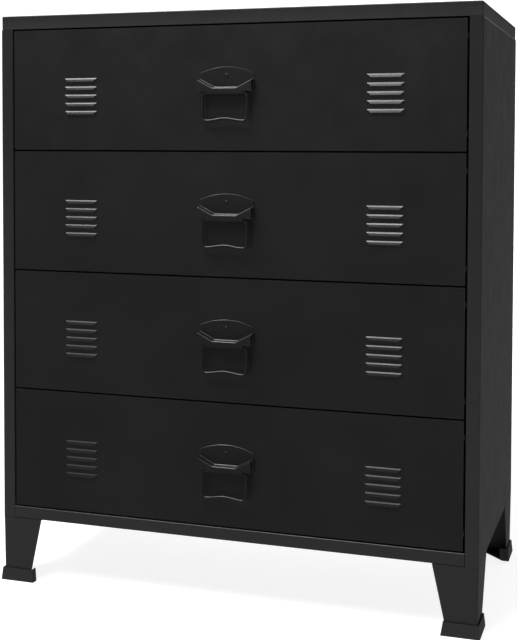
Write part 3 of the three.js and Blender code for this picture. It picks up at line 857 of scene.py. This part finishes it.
def build_drawer_screws(number):
    """The screws on a front's folded ends and the one in its pull, each turned its own way."""
    lo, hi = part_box(f"drawer_{number}_front")
    places = []
    for side in (-1, 1):
        for index, z in enumerate((hi.z - SIDE_SCREW_END, lo.z + SIDE_SCREW_END)):
            at = Vector((side * (hi.x - LAP), FACE_Y + SIDE_SCREW_SETBACK, z))
            places.append((at, (side, 0, 0), 17 + 31 * index + 11 * number))
    screws(f"drawer_{number}_side_screws", f"drawer_{number}",
           SIDE_SCREW_RADIUS, SIDE_SCREW_HEIGHT, places)
    plate_y = FACE_Y - PULL_STANDOFF - PULL_SHEET
    at = Vector((0, plate_y + 0.03 * MM, hi.z - PULL_SCREW_DROP))
    screws(f"pull_{number}_screw", f"drawer_{number}",
           PULL_SCREW_RADIUS, PULL_SCREW_HEIGHT, [(at, (0, -1, 0), 8 + 23 * number)])


# ------------------------------------------------------------------ the object

def coat_node(name, material, bevel=SOFT_EDGE):
    """A CAD node whose shape is right: it keeps its mesh and gets a material and soft edges."""
    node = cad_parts[name]
    node.data.materials.clear()
    node.data.materials.append(material)
    soften(node, bevel)


build_top()
for side_name, side in SIDES:
    build_side(side_name, side)
build_rail()
coat_node("back_panel", SHELL_PAINT, THIN_SOFT_EDGE)
coat_node("bottom_panel", BOX_PAINT, THIN_SOFT_EDGE)
for depth_name, rear in (("front", False), ("rear", True)):
    for side_name, side in SIDES:
        corner = f"{depth_name}_{side_name}"
        build_leg(corner, side, rear)
        coat_node(f"{corner}_shoe", SHOE_PAINT, SHOE_SOFT_EDGE)

for number in DRAWERS:
    front_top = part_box(f"drawer_{number}_front")[1].z
    build_front(number)
    build_bracket(number, front_top)
    build_bail(number, front_top)
    build_drawer_screws(number)
    for part in ("right_side", "left_side", "bottom", "back"):
        coat_node(f"drawer_{number}_{part}", BOX_PAINT)
    for side_name, _ in SIDES:
        coat_node(f"drawer_{number}_{side_name}_slide", ZINC)
        coat_node(f"fixed_slide_{number}_{side_name}", ZINC)


# ------------------------------------------------------------------ studio

FLOOR_REACH = 14.0                # to the front and to both sides
FLOOR_REAR = 7.0                  # where the floor starts to curve up
COVE_RADIUS = 2.5
COVE_STEPS = 16
BACKDROP_HEIGHT = 9.0


def build_floor():
    """A pale paper floor that curves up behind."""
    bm = bmesh.new()
    path = [(-FLOOR_REACH, 0.0), (FLOOR_REAR, 0.0)]
    for i in range(1, COVE_STEPS + 1):
        angle = math.radians(90 * i / COVE_STEPS)
        path.append((FLOOR_REAR + COVE_RADIUS * math.sin(angle),
                     COVE_RADIUS * (1 - math.cos(angle))))
    path.append((FLOOR_REAR + COVE_RADIUS, BACKDROP_HEIGHT))
    swept_strip(bm, [[(x, y, z) for y, z in path] for x in (-FLOOR_REACH, FLOOR_REACH)])
    mesh = bpy.data.meshes.new("studio_floor")
    bm.to_mesh(mesh)
    bm.free()
    for polygon in mesh.polygons:
        polygon.use_smooth = True
    material = bpy.data.materials.new("studio_paper")
    material.use_nodes = True
    shader = material.node_tree.nodes["Principled BSDF"]
    shader.inputs["Base Color"].default_value = (0.5, 0.5, 0.5, 1)
    shader.inputs["Emission Color"].default_value = (1, 1, 1, 1)
    shader.inputs["Emission Strength"].default_value = 0.85
    shader.inputs["Roughness"].default_value = 0.95
    shader.inputs["Specular IOR Level"].default_value = 0.1
    mesh.materials.append(material)
    floor = bpy.data.objects.new("studio_floor", mesh)
    # Dark paint would otherwise mirror the bright paper at grazing angles.
    floor.visible_glossy = False
    bpy.context.scene.collection.objects.link(floor)


def soft_light(name, place, aim, size, power):
    """A soft rectangular light that the camera doesn't see."""
    data = bpy.data.lights.new(name, "AREA")
    data.shape = "RECTANGLE"
    data.size, data.size_y = size
    data.energy = power
    light = bpy.data.objects.new(name, data)
    light.location = place
    light.rotation_euler = (Vector(aim) - Vector(place)).to_track_quat("-Z", "Y").to_euler()
    light.visible_camera = False
    bpy.context.scene.collection.objects.link(light)


def build_lights():
    """Three soft lights and an even sky."""
    soft_light("key_softbox", (-0.9, FACE_Y - 1.1, 3.1), (-0.15, FACE_Y - 0.1, 0.7),
               (2.3, 1.0), 135.0)
    soft_light("rear_card", (-0.3, 4.0, 1.9), (0.2, 0, 0.9), (1.4, 1.0), 4.0)
    soft_light("backdrop_light", (0, 3.2, 4.0), (0, 7.5, 1.6), (6.0, 1.5), 420.0)

    world = bpy.data.worlds.new("studio_sky")
    world.use_nodes = True
    background = world.node_tree.nodes["Background"]
    background.inputs["Color"].default_value = (1.0, 1.0, 1.0, 1)
    background.inputs["Strength"].default_value = 0.13
    bpy.context.scene.world = world
    bpy.context.scene.view_settings.view_transform = "Standard"


CAMERA_LENS = 67.015              # mm, on a sensor 36 mm wide
CAMERA_SHIFT = (-0.025, -0.199)
CAMERA_PLACE = Vector((0.6292, FACE_Y - 1.7153, 0.7150))
CAMERA_YAW = 17.82                # degrees, as are the next two
CAMERA_PITCH = -2.201
CAMERA_ROLL = -0.19


def build_camera():
    """The camera: in front and to the right of the chest, a little above its middle."""
    data = bpy.data.cameras.new("camera")
    data.sensor_width = 36.0
    data.lens = CAMERA_LENS
    data.shift_x, data.shift_y = CAMERA_SHIFT
    data.clip_start = 0.05
    data.clip_end = 60.0
    camera = bpy.data.objects.new("camera", data)
    turn = (Matrix.Rotation(math.radians(CAMERA_YAW), 4, "Z")
            @ Matrix.Rotation(math.radians(CAMERA_PITCH), 4, "X")
            @ Matrix.Rotation(math.radians(CAMERA_ROLL), 4, "Y")
            @ Matrix.Rotation(math.radians(90.0), 4, "X"))
    camera.matrix_world = Matrix.Translation(CAMERA_PLACE) @ turn
    bpy.context.scene.collection.objects.link(camera)
    bpy.context.scene.camera = camera


build_floor()
build_lights()
build_camera()
